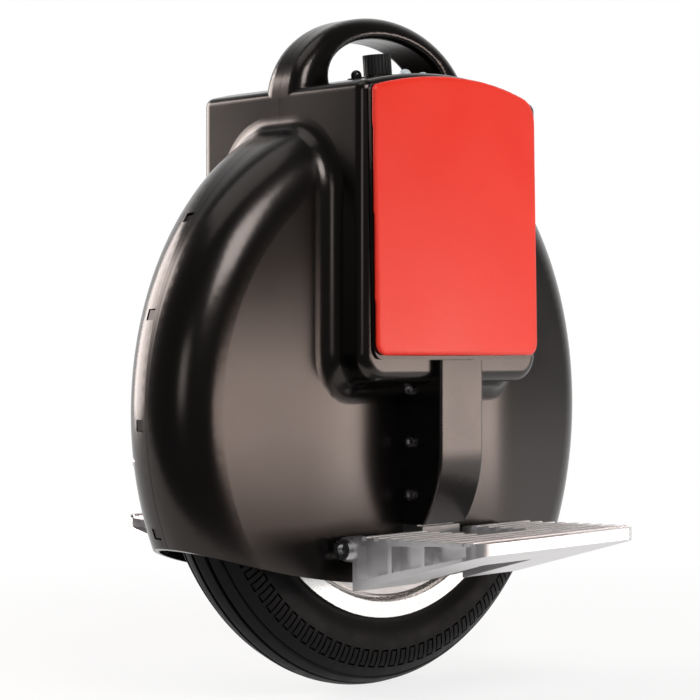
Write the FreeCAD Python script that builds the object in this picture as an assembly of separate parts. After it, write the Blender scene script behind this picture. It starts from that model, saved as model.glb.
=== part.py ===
import FreeCAD, Part
import math
import os

# Lengths are in millimetres, angles in degrees.
# X runs forward, Y to the left, Z up; the origin is on the ground under the axle.

# Clearances
fit_gap = 0.05
side_gap = 0.1
free_gap = 0.5
overshoot = 20.0
far_reach = 300.0

# Wheel
axle_height = 180.0
tyre_radius = axle_height
tyre_half = 24.0
tyre_section = 45.0
rim_radius = tyre_radius - tyre_section
rim_face = 21.0
flange_thickness = 2.5
flange_height = 8.5
flange_step = 6.0
bead_slope = 2.0
bead_land = 6.5
well_depth = 5.5
well_slope = 3.0
rim_depth = 19.0
ring_width = 10.0
ring_bevel = 3.0
cover_flat_height = 4.5
bearing_start = 22.0
bearing_width = 12.0
cover_lip_wall = 2.0
bearing_end = bearing_start + bearing_width
cover_hub_height = bearing_end + cover_lip_wall
bead_side = rim_face - flange_thickness
bead_seat = rim_radius - flange_height
bead_toe = bead_seat - bead_slope
bead_toe_side = bead_side - bead_land
rim_well = bead_toe - well_depth
rim_well_half = bead_toe_side - well_slope
rim_bore = rim_well - rim_depth
rim_half = rim_face - flange_step
rim_slope_end = rim_radius - ring_width
rim_slope = rim_slope_end - ring_bevel
cover_edge_radius = rim_slope - free_gap

# Shell
tyre_room = 15.0
shell_radius = tyre_radius + tyre_room
shell_wall = 3.0
hub_room = 4.5
shell_half = cover_hub_height + hub_room + shell_wall
shell_flat = 70.0
shell_bend = 260.0
shell_taper = 6.6
shell_edge = 33.0
shell_drop = 109.5
shell_low = axle_height - shell_drop
shell_sweep = 550.0
seam_gap = 0.15

# Housing box and handle
box_half = 85.0
box_depth = 28.5
box_face = shell_half + box_depth
box_corner = 8.0
box_rise = 17.0
box_low = axle_height + box_rise
box_low_corner = 18.0
box_blend = 13.0
box_height = 182.0
deck_side = box_low + box_height
deck_rise = 12.0
deck_crown = deck_side + deck_rise
deck_edge = 6.0
handle_sink = 5.0
handle_spring = deck_side - handle_sink
handle_rise = 42.0
handle_crown = deck_crown + handle_rise
handle_half = 17.0
handle_edge = 10.0
handle_wall = 4.0
handle_side_wall = 5.0
handle_leg = 29.0
handle_depth = 14.0
hole_half = box_half - handle_leg
hole_sink = 1.0
hole_base = deck_crown - hole_sink
hole_crown = handle_crown - handle_depth
hole_edge = 5.0

# Leg pad
pad_margin = 6.5
pad_half = box_half - pad_margin
pad_lean = 1.2
pad_rise = 17.0
pad_low = box_low + pad_rise
pad_low_corner = 8.0
pad_back_corner = 16.0
pad_fore_corner = 4.0
pad_top_drop = 3.0
pad_depth = 7.5
pad_crown = 4.5
pad_edge = 2.4
plate_depth = 2.0
plate_lip = 2.2

# Pillar cover over the pedal hanger
hinge_out = 8.5
hinge_side = shell_half + hinge_out
pillar_half = 20.6
pillar_wall = 2.6
pillar_stand = 5.5
pillar_face = box_face + pillar_stand
pillar_bend_drop = 25.0
pillar_bend = axle_height - pillar_bend_drop
pillar_low_drop = 72.0
pillar_low = axle_height - pillar_low_drop
pillar_low_stand = 11.0
pillar_low_face = hinge_side + pillar_low_stand
pillar_top = pad_low - plate_lip - free_gap
pillar_edge = 2.0
screw_rows = 3
screw_foot = 18.4
screw_head_room = 4.2
screw_first = pillar_low + screw_foot
screw_step = (box_low - screw_head_room - screw_first) / (screw_rows - 1)
screw_stand = 9.0
screw_depth = shell_half + screw_stand

# Pedal and its hinge
hinge_drop = 83.5
hinge_height = axle_height - hinge_drop
pin_radius = 4.0
lug_radius = 7.5
lug_length = 14.0
pedal_half = 80.0
pedal_gap = 5.5
pedal_run = 99.0
pedal_rise = 7.5
pedal_tilt = 2.0
pedal_root = 33.0
pedal_lip = 7.0
pedal_inner = hinge_side + pedal_gap
pedal_outer = pedal_inner + pedal_run
pedal_top_inner = hinge_height + pedal_rise
pedal_top_outer = pedal_top_inner + pedal_tilt
pedal_low_inner = pedal_top_inner - pedal_root
pedal_low_outer = pedal_top_outer - pedal_lip
pedal_corner = 14.0
notch_gap = 3.4
notch_run = 56.5
pedal_notch_half = pillar_half + notch_gap
pedal_notch_depth = pedal_inner + notch_run

vec = FreeCAD.Vector
along_x = vec(1, 0, 0)
along_y = vec(0, 1, 0)
along_z = vec(0, 0, 1)
origin = vec(0, 0, 0)
axle_centre = vec(0, 0, axle_height)

os.makedirs("parts", exist_ok=True)


def save(name, shape):
    shape.exportStep("parts/" + name + ".step")


def mirrored(shape):
    return shape.mirror(origin, along_y)


def half_turned(shape):
    copy = shape.copy()
    copy.rotate(origin, along_z, 180)
    return copy


def block(x0, x1, y0, y1, z0, z1):
    return Part.makeBox(x1 - x0, y1 - y0, z1 - z0, vec(x0, y0, z0))


def rod(radius, start, end):
    span = end - start
    return Part.makeCylinder(radius, span.Length, start, span)


def tube(radius, bore, start, end):
    return rod(radius, start, end).cut(rod(bore, start, end))


def on_front(x, z):
    return vec(x, 0, z)


def on_side(y, z):
    return vec(0, y, z)


def on_plan(x, y):
    return vec(x, y, 0)


def on_section(r, y):
    return vec(0, y, axle_height + r)


def traced(start, steps, place):
    edges = []
    here = place(*start)
    for step in list(steps) + [start]:
        there = place(*step[-2:])
        if (there - here).Length > fit_gap / overshoot:
            if len(step) == 2:
                edges.append(Part.LineSegment(here, there).toShape())
            else:
                edges.append(Part.Arc(here, place(*step[:2]), there).toShape())
        here = there
    return Part.Face(Part.Wire(edges))


def rounded(corners, place):
    edges = []
    stops = []
    count = len(corners)
    for i in range(count):
        x, y, radius = corners[i]
        here = place(x, y)
        back = place(*corners[i - 1][:2]) - here
        ahead = place(*corners[(i + 1) % count][:2]) - here
        back.normalize()
        ahead.normalize()
        half_angle = back.getAngle(ahead) / 2
        if radius == 0:
            stops.append((here, None, here))
            continue
        reach = radius / math.tan(half_angle)
        middle = back + ahead
        middle.normalize()
        depth = radius / math.sin(half_angle) - radius
        stops.append((here + back * reach, here + middle * depth, here + ahead * reach))
    for i in range(count):
        start, middle, end = stops[i]
        if middle is not None:
            edges.append(Part.Arc(start, middle, end).toShape())
        edges.append(Part.LineSegment(end, stops[(i + 1) % count][0]).toShape())
    return Part.Face(Part.Wire(edges))


def turned(corners):
    points = [on_section(r, y) for r, y in corners]
    face = Part.Face(Part.makePolygon(points + points[:1]))
    return face.revolve(axle_centre, along_y, 360)


def around_axle(shape, count, turn=0.0):
    copies = []
    for i in range(count):
        copy = shape.copy()
        copy.rotate(axle_centre, along_y, turn + 360.0 * i / count)
        copies.append(copy)
    return copies


def mid_point(edge):
    return edge.valueAt((edge.FirstParameter + edge.LastParameter) / 2)


# Shell halves
deck_radius = (box_half ** 2 + deck_rise ** 2) / (2 * deck_rise)
deck_centre = deck_crown - deck_radius


def coin(inset):
    radius = shell_radius - inset
    half = shell_half - inset
    bend = shell_bend - inset
    taper = math.radians(shell_taper)
    reach = shell_radius + overshoot
    x_mid = shell_flat + bend * math.sin(taper / 2)
    y_mid = half - bend * (1 - math.cos(taper / 2))
    x_end = shell_flat + bend * math.sin(taper)
    y_end = half - bend * (1 - math.cos(taper))
    y_far = y_end - (reach - x_end) * math.tan(taper)
    steps = [(x_mid, y_mid, x_end, y_end), (reach, y_far), (reach, -y_far), (x_end, -y_end)]
    steps += [(x_mid, -y_mid, shell_flat, -half), (-shell_flat, -half)]
    steps += [(-x_mid, -y_mid, -x_end, -y_end), (-reach, -y_far), (-reach, y_far), (-x_end, y_end)]
    steps += [(-x_mid, y_mid, -shell_flat, half)]
    plan = traced((shell_flat, half), steps, on_plan)
    plan.translate(axle_centre - along_z * reach)
    band = rod(radius, axle_centre - along_y * reach, axle_centre + along_y * reach)
    body = plan.extrude(along_z * (2 * reach)).common(band)
    rims = []
    for edge in body.Edges:
        spot = mid_point(edge)
        off_rim = abs(math.hypot(spot.x, spot.z - axle_height) - radius)
        if off_rim < fit_gap and abs(spot.y) > shell_wall:
            rims.append(edge)
    y_rim = y_end - (radius - x_end) * math.tan(taper)
    edge_limit = (y_rim - free_gap) / math.tan((math.pi / 2 - taper) / 2)
    return body.makeFillet(min(shell_edge - inset, edge_limit), rims)


def housing(inset):
    half = box_half - inset
    face = box_face - inset
    low = box_low + inset
    high = deck_crown + overshoot
    corner = box_low_corner - inset
    front = rounded([(half, low, corner), (half, high, 0), (-half, high, 0), (-half, low, corner)], on_front)
    front.translate(along_y * -face)
    slab = front.extrude(along_y * (2 * face))
    deck_axis = vec(0, 0, deck_centre)
    dome = rod(deck_radius - inset, deck_axis - along_y * far_reach, deck_axis + along_y * far_reach)
    body = slab.common(dome)
    frame = []
    for edge in body.Edges:
        spot = mid_point(edge)
        on_deck = abs(math.hypot(spot.x, spot.z - deck_centre) - deck_radius + inset) < fit_gap
        if abs(abs(spot.y) - face) < fit_gap and not on_deck:
            frame.append(edge)
    return body.makeFillet(box_corner - inset, frame)


def on_low_edge(spot):
    side = max(abs(spot.x) - box_half + box_low_corner, 0)
    height = spot.z - box_low - box_low_corner
    return height <= 0 and abs(math.hypot(side, height) - box_low_corner) < fit_gap


def soft_housing():
    body = housing(0)
    rim = []
    for edge in body.Edges:
        spot = mid_point(edge)
        if abs(math.hypot(spot.x, spot.z - deck_centre) - deck_radius) < fit_gap:
            rim.append(edge)
    return body.makeFillet(deck_edge, rim)


def arch(half, rise, base, spring, depth):
    flat = Part.Ellipse(origin, half, rise)
    flat.transform(FreeCAD.Placement(vec(0, 0, spring), FreeCAD.Rotation(along_x, 90)).toMatrix())
    oval = Part.Face(Part.Wire([flat.toShape()]))
    oval.translate(along_y * -depth)
    solid = oval.extrude(along_y * (2 * depth))
    if base < spring:
        upper = block(-far_reach, far_reach, -far_reach, far_reach, spring, spring + far_reach)
        legs = block(-half, half, -depth, depth, base, spring)
        solid = solid.common(upper).fuse(legs).removeSplitter()
    return solid


handle_base = handle_spring - 2 * overshoot


def handle_bar():
    bar = arch(box_half, handle_crown - handle_spring, handle_base, handle_spring, handle_half)
    outer = []
    for edge in bar.Edges:
        spot = mid_point(edge)
        if abs(abs(spot.y) - handle_half) < fit_gap and spot.z > handle_base + fit_gap:
            outer.append(edge)
    bar = bar.makeFillet(handle_edge, outer)
    hole = arch(hole_half, hole_crown - hole_base, hole_base, hole_base, far_reach)
    bar = bar.cut(hole)
    inner = []
    for edge in bar.Edges:
        spot = mid_point(edge)
        oval = (spot.x / hole_half) ** 2 + ((spot.z - hole_base) / (hole_crown - hole_base)) ** 2
        if abs(oval - 1) < fit_gap and abs(abs(spot.y) - handle_half) < fit_gap:
            inner.append(edge)
    return bar.makeFillet(hole_edge, inner)


def handle_void():
    depth = handle_half - handle_side_wall
    rise = handle_crown - handle_spring - handle_wall
    room = arch(box_half - handle_wall, rise, handle_base, handle_spring, depth)
    hole_rise = hole_crown - hole_base + handle_wall
    return room.cut(arch(hole_half + handle_wall, hole_rise, hole_base, hole_base, far_reach))


def deck_spot(x, y):
    lean = math.asin(x / deck_radius)
    out = vec(math.sin(lean), 0, math.cos(lean))
    return vec(0, y, deck_centre) + out * deck_radius, out


# Snap windows of the left half and the hooks of the right half
sweep_rise = shell_sweep - shell_drop
end_drop = (shell_sweep ** 2 - shell_radius ** 2 - sweep_rise ** 2) / (2 * sweep_rise)
shell_end = math.degrees(math.asin(end_drop / shell_radius))
snap_shares = [-1.529, -0.723, 0.0826, 0.888]
snap_angles = [180.0 + shell_end * share for share in snap_shares]
window_near = 3.0
window_far = 10.0
window_half = 3.5
hook_drop = 8.5
hook_depth = 2.5
hook_low = shell_radius - hook_drop
hook_mid = hook_low + hook_depth
hook_gap = 0.4
hook_root = 6.0

# Screws that join the halves
boss_radius = 8.6
ring_boss_radius = 4.2
joint_reach = 17.0
joint_screw_radius = 2.0
joint_head_radius = 3.6
joint_head_height = 2.5
joint_grip = 13.0
top_boss_out = 4.0
top_boss_drop = 5.2
ring_boss_drop = 7.8
top_boss_x = hole_half + top_boss_out
top_boss_z = deck_side - top_boss_drop
ring_boss_place = shell_radius - ring_boss_drop
ring_boss_angle = 9.0
head_socket_share = 0.5

# Pieces on the deck of the right half
deck_row_out = 16.0
deck_row = -handle_half - deck_row_out
cap_x = -30.0
button_x = -50.0
led_first = -4.0
led_step = 17.0
led_count = 4
socket_radius = 7.0
button_radius = 3.4
led_radius = 4.0
led_rise = 3.0

# Hanger, its bolts and the axle ends
hanger_depth = 11.5
hanger_low_rise = 5.5
foot_gap = 0.4
foot_rise = 10.0
bush_wall = 1.5
barrel_wall = 2.5
bush_radius = pin_radius + bush_wall
barrel_radius = bush_radius + barrel_wall
hanger_half = pillar_half - pillar_wall - side_gap
hanger_face = shell_half + hanger_depth
hanger_low = hinge_height + hanger_low_rise
hanger_top = box_low - pillar_wall - 2 * side_gap
foot_face = pillar_low_face - pillar_wall - foot_gap
foot_top = hinge_height + foot_rise
bolt_x = 9.0
bolt_foot = 13.0
bolt_step = 30.0
bolt_heights = [hanger_low + bolt_foot, hanger_low + bolt_foot + bolt_step]
bolt_radius = 2.5
bolt_head_radius = 4.2
bolt_head_height = 4.0
axle_radius = 8.5
axle_end_radius = 7.0
axle_flat = 5.2
axle_stub = 7.0
axle_end = hanger_face + axle_stub
disc_opening = 12.0
cable_radius = 2.4
cable_room = 0.8
bore_room = 1.1
gate_room = 0.2
axle_bore = cable_radius + bore_room
cable_hole = cable_radius + cable_room
cable_entry = box_face - shell_wall - cable_hole - gate_room

joint_places = [(top_boss_x, top_boss_z, boss_radius), (-top_boss_x, top_boss_z, boss_radius)]
for way in (1, -1):
    drop = ring_boss_place * math.sin(math.radians(ring_boss_angle))
    ahead = ring_boss_place * math.cos(math.radians(ring_boss_angle))
    joint_places.append((way * ahead, axle_height - drop, ring_boss_radius))


def seam_blocks(inner, outer, near, far, half):
    piece = block(inner, outer, near, far, -half, half)
    piece.translate(axle_centre)
    pieces = []
    for angle in snap_angles:
        for turn in (angle, 180.0 - angle):
            copy = piece.copy()
            copy.rotate(axle_centre, along_y, -turn)
            pieces.append(copy)
    return pieces


outer_coin = coin(0)
inner_coin = coin(shell_wall)
sweep_axis = vec(0, 0, shell_low + shell_sweep)
keep = rod(shell_sweep, sweep_axis - along_y * far_reach, sweep_axis + along_y * far_reach)
skin = outer_coin.common(keep).fuse(soft_housing()).removeSplitter()
roots = []
for edge in skin.Edges:
    spot = mid_point(edge)
    on_disc = abs(spot.y) < shell_half + fit_gap and box_low - free_gap < spot.z < deck_side - overshoot
    upright = abs(abs(spot.x) - box_half) < fit_gap and abs(spot.y) > shell_wall
    if on_disc and abs(spot.y) > shell_wall and (upright or on_low_edge(spot)):
        roots.append(edge)
skin = skin.makeFillet(box_blend, roots)
pillar_slot = block(-pillar_half - side_gap, pillar_half + side_gap, shell_half, box_face, 0, box_low)
skin = skin.cut([pillar_slot, mirrored(pillar_slot)])
skin = skin.fuse(handle_bar()).removeSplitter()
box_room = housing(shell_wall).fuse(handle_void()).cut(outer_coin)
hollow = skin.cut(inner_coin).cut(box_room)

shell_cuts = []
for side in (1, -1):
    shell_cuts.append(rod(disc_opening, axle_centre, axle_centre + along_y * (side * box_face)))
    for height in bolt_heights:
        for x in (bolt_x, -bolt_x):
            spot = vec(x, 0, height)
            shell_cuts.append(rod(bolt_radius + fit_gap, spot, spot + along_y * (side * box_face)))
disc_skin = block(-shell_flat, shell_flat, -shell_half, shell_half, shell_low, box_low)
shell_cuts = [cutter.common(disc_skin) for cutter in shell_cuts]
hollow = hollow.cut(shell_cuts)

left_half = hollow.common(block(-far_reach, far_reach, seam_gap, far_reach, -overshoot, 2 * far_reach))
right_half = hollow.common(block(-far_reach, far_reach, -far_reach, -seam_gap, -overshoot, 2 * far_reach))

left_bosses = []
right_bosses = []
left_bores = []
right_bores = []
joint_screws = []
for x, z, radius in joint_places:
    seam = vec(x, 0, z)
    end = seam + along_y * joint_reach
    left_bosses.append(rod(radius, seam + along_y * seam_gap, end))
    right_bosses.append(rod(radius, seam - along_y * seam_gap, seam - along_y * joint_reach))
    left_bores.append(rod(joint_screw_radius + side_gap, seam, end))
    right_bores.append(rod(joint_screw_radius + fit_gap, seam - along_y * (joint_grip + free_gap), seam))
    head = rod(joint_head_radius, end, end + along_y * joint_head_height)
    pit_floor = end + along_y * (joint_head_height * head_socket_share)
    pit = rod(joint_head_radius * head_socket_share, pit_floor, end + along_y * joint_head_height)
    shank = rod(joint_screw_radius, seam - along_y * joint_grip, end)
    joint_screws.append(head.fuse(shank).cut(pit))
    if radius == ring_boss_radius:
        left_bores.append(rod(joint_head_radius + side_gap, end, end + along_y * far_reach))
left_bosses = [boss.common(skin) for boss in left_bosses]
right_bosses = [boss.common(skin) for boss in right_bosses]

windows = seam_blocks(hook_low, shell_radius + overshoot, window_near, window_far, window_half)
left_shell = left_half.fuse(left_bosses).cut(left_bores + windows)

hook_half = window_half - hook_gap
hook_end = window_far - hook_gap
hook_top = shell_radius - shell_wall / 2
arms = seam_blocks(hook_low, hook_mid, -hook_root, hook_end, hook_half)
catches = seam_blocks(hook_low, hook_top, window_near + hook_gap, hook_end, hook_half)
stems = seam_blocks(hook_low, hook_top, -hook_root, -seam_gap, hook_half)
right_shell = right_half.fuse(right_bosses + arms + catches + stems).cut(right_bores)

deck_cuts = []
spot, out = deck_spot(cap_x, deck_row)
deck_cuts.append(rod(socket_radius + fit_gap, spot - out * overshoot, spot + out * overshoot))
spot, out = deck_spot(button_x, deck_row)
deck_cuts.append(rod(button_radius + side_gap, spot - out * overshoot, spot + out * overshoot))
for i in range(led_count):
    spot, out = deck_spot(led_first + led_step * i, deck_row)
    deck_cuts.append(rod(led_radius + fit_gap, spot - along_z * overshoot, spot + along_z * overshoot))
cable_gate = vec(0, -cable_entry, box_low)
deck_cuts.append(rod(cable_hole, cable_gate - along_z * shell_wall, cable_gate + along_z * box_corner))
right_shell = right_shell.cut(deck_cuts)

save("left_shell", left_shell)
save("right_shell", right_shell)
save("shell_screws", Part.makeCompound(joint_screws))

# Leg pads on their plates
pad_back = box_face + plate_depth
pad_front = pad_back + pad_depth
pad_dome_radius = (pad_half ** 2 + pad_crown ** 2) / (2 * pad_crown)
pad_slope = math.tan(math.radians(pad_lean))


def pad_prism(low, back, front):
    high = deck_crown + overshoot
    low_shift = (low - pad_low) * pad_slope
    high_shift = (high - pad_low) * pad_slope
    corners = [(low_shift + pad_half, low, pad_low_corner), (high_shift + pad_half, high, 0)]
    corners += [(high_shift - pad_half, high, 0), (low_shift - pad_half, low, pad_low_corner)]
    face = rounded(corners, on_front)
    face.translate(along_y * back)
    slab = face.extrude(along_y * (front - back))
    deck_axis = vec(0, 0, deck_centre)
    dome = rod(deck_radius - pad_top_drop, deck_axis + along_y * back, deck_axis + along_y * front)
    solid = slab.common(dome)
    for side, radius in [(-1, pad_back_corner), (1, pad_fore_corner)]:
        ends = []
        for edge in solid.Edges:
            spot = mid_point(edge)
            across = abs(edge.Vertexes[0].Y - edge.Vertexes[-1].Y)
            if across > fit_gap and spot.x * side > 0 and spot.z > deck_side - overshoot:
                ends.append(edge)
        solid = solid.makeFillet(radius, ends)
    return solid


pad = pad_prism(pad_low, pad_back, pad_front)
crown_foot = vec(-pad_low * pad_slope, pad_front - pad_dome_radius, 0)
crown_rise = (along_z + along_x * pad_slope) * (2 * far_reach)
crown = rod(pad_dome_radius, crown_foot, crown_foot + crown_rise)
pad = pad.common(crown)
front_edges = []
for edge in pad.Edges:
    low_y = min(vertex.Y for vertex in edge.Vertexes)
    if low_y > pad_back + free_gap:
        front_edges.append(edge)
pad = pad.makeFillet(pad_edge, front_edges)
plate = pad_prism(pad_low - plate_lip, box_face, pad_back)
notch_top = pillar_top + side_gap
plate = plate.cut(block(-pillar_half - side_gap, pillar_half + side_gap, box_face, pad_front, 0, notch_top))
save("left_leg_pad", pad)
save("right_leg_pad", half_turned(pad))
save("left_pad_plate", plate)
save("right_pad_plate", half_turned(plate))

# Pillar covers and their screws
pillar_back = shell_half + side_gap
pillar_drop = pillar_face - pillar_low_face
pillar_run = pillar_bend - pillar_low
pillar_radius = (pillar_run ** 2 + pillar_drop ** 2) / (2 * pillar_drop)
pillar_centre = pillar_face - pillar_radius
sweep_half = math.asin(pillar_run / pillar_radius) / 2


def pillar_face_at(inset, share):
    radius = pillar_radius - inset
    turn = 2 * sweep_half * share
    return pillar_centre + radius * math.cos(turn), pillar_bend - radius * math.sin(turn)


full_share = 1.0
half_share = 0.5
low_end = pillar_face_at(0, full_share)
low_mid = pillar_face_at(0, half_share)
shelf = box_face + side_gap
under = box_low - side_gap
outline = [low_end, low_mid + (pillar_face, pillar_bend), (pillar_face, pillar_top), (shelf, pillar_top)]
bend_share = math.sqrt(half_share)
bend_y = box_face - box_corner
bend_z = box_low + box_corner
bend_radius = box_corner + side_gap
bend_mid = (bend_y + bend_radius * bend_share, bend_z - bend_radius * bend_share)
outline += [(shelf, bend_z), bend_mid + (bend_y, under), (pillar_back, under)]
pillar = traced((pillar_back, pillar_low), outline, on_side)
pillar.translate(along_x * -pillar_half)
pillar = pillar.extrude(along_x * (2 * pillar_half))
long_edges = []
for edge in pillar.Edges:
    spot = mid_point(edge)
    on_end = abs(abs(spot.x) - pillar_half) < fit_gap
    if on_end and spot.y > pillar_low_face + free_gap and spot.z < pillar_top - fit_gap:
        if spot.z < box_low - fit_gap or spot.y > shelf + fit_gap:
            long_edges.append(edge)
pillar = pillar.makeFillet(pillar_edge, long_edges)
in_end = pillar_face_at(pillar_wall, full_share)
in_mid = pillar_face_at(pillar_wall, half_share)
inner_face = pillar_face - pillar_wall
inner_top = under - pillar_wall
inner_half = pillar_half - pillar_wall
outline = [(in_end[0], pillar_low - overshoot), in_end, in_mid + (inner_face, pillar_bend)]
outline += [(inner_face, inner_top), (shell_half, inner_top)]
room = traced((shell_half, pillar_low - overshoot), outline, on_side)
room.translate(along_x * -inner_half)
pillar = pillar.cut(room.extrude(along_x * (2 * inner_half)))
wire_gate = vec(0, cable_entry, under)
gate = rod(cable_hole, wire_gate - along_z * (2 * pillar_wall), wire_gate + along_z * box_corner)
pillar = pillar.cut(gate)

screw_radius = 2.0
screw_head_radius = 3.3
screw_head_height = 2.2
screw_reach = 9.0
cover_screws = []
pillar_holes = []
hanger_holes = []
for i in range(screw_rows):
    for way in (1, -1):
        out = along_x * way
        seat = vec(way * pillar_half, screw_depth, screw_first + screw_step * i)
        tip = seat - out * screw_reach
        head_end = seat + out * screw_head_height
        head = rod(screw_head_radius, seat, head_end)
        pit_floor = head_end - out * (screw_head_height * head_socket_share)
        pit = rod(screw_head_radius * head_socket_share, pit_floor, head_end)
        cover_screws.append(head.fuse(rod(screw_radius, tip, seat)).cut(pit))
        pillar_holes.append(rod(screw_radius + side_gap, tip, seat + out * screw_head_height))
        hanger_holes.append(rod(screw_radius + fit_gap, tip - out * free_gap, seat))
pillar = pillar.cut(pillar_holes)
save("left_pillar_cover", pillar)
save("right_pillar_cover", mirrored(pillar))
save("pillar_screws", Part.makeCompound(cover_screws + [mirrored(screw) for screw in cover_screws]))

# Pedal hangers, their bolts and the hinge bushes
hinge_line = vec(0, hinge_side, hinge_height)


def across(half):
    return hinge_line - along_x * half, hinge_line + along_x * half


def flatted(radius, y0, y1):
    shaft = rod(radius, axle_centre + along_y * y0, axle_centre + along_y * y1)
    grow = radius - axle_end_radius
    return shaft.common(block(-far_reach, far_reach, y0, y1, axle_height - axle_flat - grow,
                              axle_height + axle_flat + grow))


hanger = block(-hanger_half, hanger_half, shell_half, hanger_face, hanger_low, hanger_top)
foot = block(-hanger_half, hanger_half, hinge_side - barrel_radius, foot_face, hinge_height, foot_top)
hanger = hanger.fuse([foot, rod(barrel_radius, *across(hanger_half))])
bush_bore = rod(bush_radius + fit_gap, *across(far_reach))
hanger = hanger.cut([flatted(axle_end_radius + fit_gap, 0, far_reach), bush_bore])
hanger_bolts = []
bolt_tip = shell_half - shell_wall + free_gap
for height in bolt_heights:
    for x in (bolt_x, -bolt_x):
        spot = vec(x, 0, height)
        seat = spot + along_y * (hanger_face - bolt_head_height)
        head_end = spot + along_y * hanger_face
        head = rod(bolt_head_radius, seat, head_end)
        pit_floor = head_end - along_y * (bolt_head_height * head_socket_share)
        pit = rod(bolt_head_radius * head_socket_share, pit_floor, head_end)
        hanger_bolts.append(head.fuse(rod(bolt_radius, spot + along_y * bolt_tip, seat)).cut(pit))
        hanger_holes.append(rod(bolt_radius + fit_gap, spot, seat))
        hanger_holes.append(rod(bolt_head_radius + side_gap, seat, head_end + along_y * overshoot))
hanger = hanger.cut(hanger_holes).removeSplitter()
save("left_hanger", hanger)
save("right_hanger", mirrored(hanger))
save("hanger_bolts", Part.makeCompound(hanger_bolts + [mirrored(bolt) for bolt in hanger_bolts]))
bush = tube(bush_radius, pin_radius + fit_gap, *across(hanger_half))
save("hinge_bushes", Part.makeCompound([bush, mirrored(bush)]))

# Pedals
rib_share = 0.16
floor_share = 0.2
pocket_depth = 8.0
pocket_shares = [(0.04, 0.29), (0.32, 0.55), (0.58, 0.895)]
grip_margin = 9.5
grip_step = 10.0
grip_first = pedal_inner + grip_margin
grip_count = int((pedal_run - 2 * grip_margin) / grip_step) + 1
grip_half = 2.0
grip_sink = 1.6
grip_rise = 0.8
grip_end = 3.0
lug_bridge = 6.0
pin_end = pedal_half
pin_head_over = 2.5
pin_head_radius = pin_radius + pin_head_over
pin_head_height = 4.0
pin_screw_radius = 2.0
pin_screw_depth = 10.0


def pedal_top(y):
    return pedal_top_inner + (pedal_top_outer - pedal_top_inner) * (y - pedal_inner) / pedal_run


def pedal_low(y):
    return pedal_low_inner + (pedal_low_outer - pedal_low_inner) * (y - pedal_inner) / pedal_run


def slab_x(points, x0, x1):
    places = [on_side(y, z) for y, z in points]
    face = Part.Face(Part.makePolygon(places + places[:1]))
    face.translate(along_x * x0)
    return face.extrude(along_x * (x1 - x0))


section = [(pedal_inner, pedal_low_inner), (pedal_outer, pedal_low_outer), (pedal_outer, pedal_top_outer),
           (pedal_inner, pedal_top_inner)]
pedal = slab_x(section, -pedal_half, pedal_half)
plan = rounded([(pedal_half, 0, 0), (pedal_half, pedal_outer, pedal_corner),
                (-pedal_half, pedal_outer, pedal_corner), (-pedal_half, 0, 0)], on_plan)
pedal = pedal.common(plan.extrude(along_z * far_reach))
notch_corner = 2.5
notch = rounded([(pedal_notch_half, 0, 0), (pedal_notch_half, pedal_notch_depth, notch_corner),
                 (-pedal_notch_half, pedal_notch_depth, notch_corner), (-pedal_notch_half, 0, 0)], on_plan)
notch = notch.extrude(along_z * far_reach)
lugs = []
for way in (1, -1):
    start = hinge_line + along_x * (way * (pedal_half - lug_length))
    end = hinge_line + along_x * (way * pedal_half)
    lugs.append(rod(lug_radius, start, end))
    x0, x1 = sorted((start.x, end.x))
    lugs.append(block(x0, x1, hinge_side, pedal_inner + lug_bridge, hinge_height - lug_radius,
                      hinge_height + lug_radius / 2))
pedal = pedal.cut(notch).fuse(lugs).removeSplitter()
cuts = [rod(pin_radius + fit_gap, *across(far_reach))]
for near_share, far_share in pocket_shares:
    y0 = pedal_inner + pedal_run * near_share
    y1 = pedal_inner + pedal_run * far_share
    deep0 = pedal_top(y0) - pedal_low(y0)
    deep1 = pedal_top(y1) - pedal_low(y1)
    cell = [(y0, pedal_low(y0) + deep0 * floor_share), (y1, pedal_low(y1) + deep1 * floor_share),
            (y1, pedal_top(y1) - deep1 * rib_share), (y0, pedal_top(y0) - deep0 * rib_share)]
    cuts.append(slab_x(cell, pedal_half - pocket_depth, pedal_half + overshoot))
    cuts.append(slab_x(cell, -pedal_half - overshoot, pocket_depth - pedal_half))
grips = []
strip_half = pedal_half - side_gap
strip_end = pedal_outer - grip_end
strip_plan = rounded([(strip_half, 0, 0), (strip_half, strip_end, pedal_corner),
                      (-strip_half, strip_end, pedal_corner), (-strip_half, 0, 0)], on_plan)
strip_room = strip_plan.extrude(along_z * far_reach).cut(notch)
for i in range(grip_count):
    y0 = grip_first + grip_step * i - grip_half
    y1 = y0 + 2 * grip_half
    slot = [(y0, pedal_top(y0) - grip_sink), (y1, pedal_top(y1) - grip_sink),
            (y1, pedal_top(y1) + overshoot), (y0, pedal_top(y0) + overshoot)]
    cuts.append(slab_x(slot, -pedal_half - overshoot, pedal_half + overshoot))
    y0 += fit_gap
    y1 -= fit_gap
    strip = [(y0, pedal_top(y0) - grip_sink), (y1, pedal_top(y1) - grip_sink),
             (y1, pedal_top(y1) + grip_rise), (y0, pedal_top(y0) + grip_rise)]
    whole = slab_x(strip, -pedal_half, pedal_half).common(strip_room)
    grips += whole.Solids
pedal = pedal.cut(cuts)
pin = rod(pin_radius, *across(pin_end))
pin_screws = []
for way in (1, -1):
    end = hinge_line + along_x * (way * pin_end)
    out = along_x * way
    pin = pin.cut(rod(pin_screw_radius + fit_gap, end - out * (pin_screw_depth + free_gap), end))
    head_end = end + out * pin_head_height
    head = rod(pin_head_radius, end, head_end)
    pit_floor = head_end - out * (pin_head_height * head_socket_share)
    pit = rod(pin_head_radius * head_socket_share, pit_floor, head_end)
    pin_screws.append(head.fuse(rod(pin_screw_radius, end - out * pin_screw_depth, end)).cut(pit))
save("left_pedal", pedal)
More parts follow.
